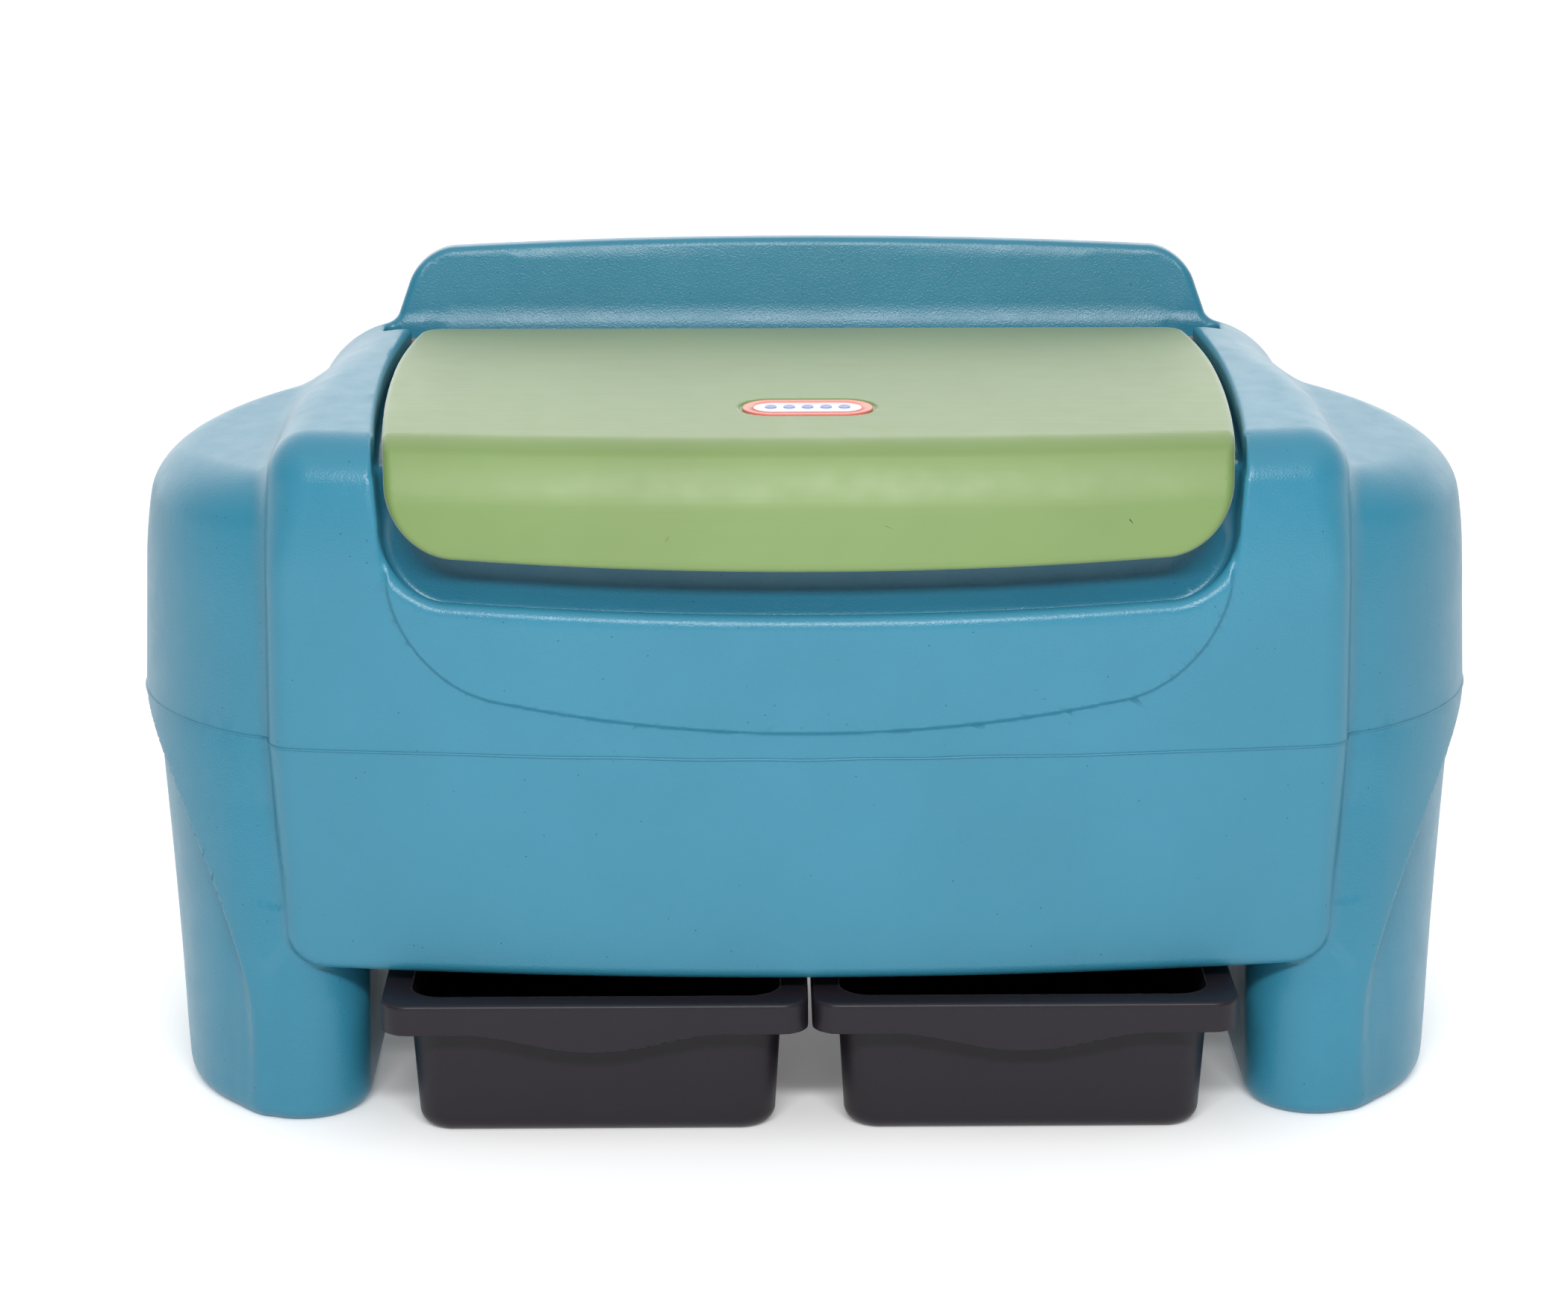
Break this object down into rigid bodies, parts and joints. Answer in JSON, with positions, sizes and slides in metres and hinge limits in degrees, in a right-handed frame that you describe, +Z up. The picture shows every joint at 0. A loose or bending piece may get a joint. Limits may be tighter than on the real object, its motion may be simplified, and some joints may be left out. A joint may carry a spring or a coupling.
{
  "type": "toy chest",
  "caption": "Hollow moulded toy chest with rounded side wings, a back rail, a lift-off hinged lid over a deep tub, and bins that slide out from the bay underneath.",
  "frame": {"origin": "on the floor, in the middle of the whole chest's width and depth, bins in", "axes": "+X to the chest's right as its front is faced, -Y out of the front, where the bins slide out, +Z up"},
  "size_m": [1.05, 0.495, 0.612],
  "materials": {
    "body_plastic": "satin, fine moulded grain",
    "lid_plastic": "satin",
    "bin_plastic": "satin",
    "badge_plastic": "gloss",
    "inlay_plastic": "gloss",
    "stud_plastic": "gloss",
    "pin_plastic": "satin",
    "soft_rubber": "matt"
  },
  "bodies": {
    "chest": {"chest_body": "body_plastic", "vent_plug_left": "soft_rubber", "vent_plug_right": "soft_rubber"},
    "hinge_pins": {"hinge_pin_left": "pin_plastic", "hinge_pin_right": "pin_plastic"},
    "lid": {"lid": "lid_plastic", "lid_bumper_left": "soft_rubber", "lid_bumper_right": "soft_rubber", "badge_plate": "badge_plastic", "badge_inlay": "inlay_plastic", "badge_studs": "stud_plastic"},
    "left_bin": {"bin_left": "bin_plastic"},
    "right_bin": {"bin_right": "bin_plastic"}
  },
  "joints": [
    {"name": "lid_lift", "type": "slide", "parent": "chest", "child": "hinge_pins", "axis": [0, 0, 1], "range_m": [0, 0.06]},
    {"name": "lid_hinge", "type": "hinge", "parent": "hinge_pins", "child": "lid", "pos_m": [0, 0.198, 0.529], "axis": [-1, 0, 0], "range_deg": [0, 101]},
    {"name": "left_bin_slide", "type": "slide", "parent": "chest", "child": "left_bin", "axis": [0, -1, 0], "range_m": [0, 0.36]},
    {"name": "right_bin_slide", "type": "slide", "parent": "chest", "child": "right_bin", "axis": [0, -1, 0], "range_m": [0, 0.36]}
  ]
}
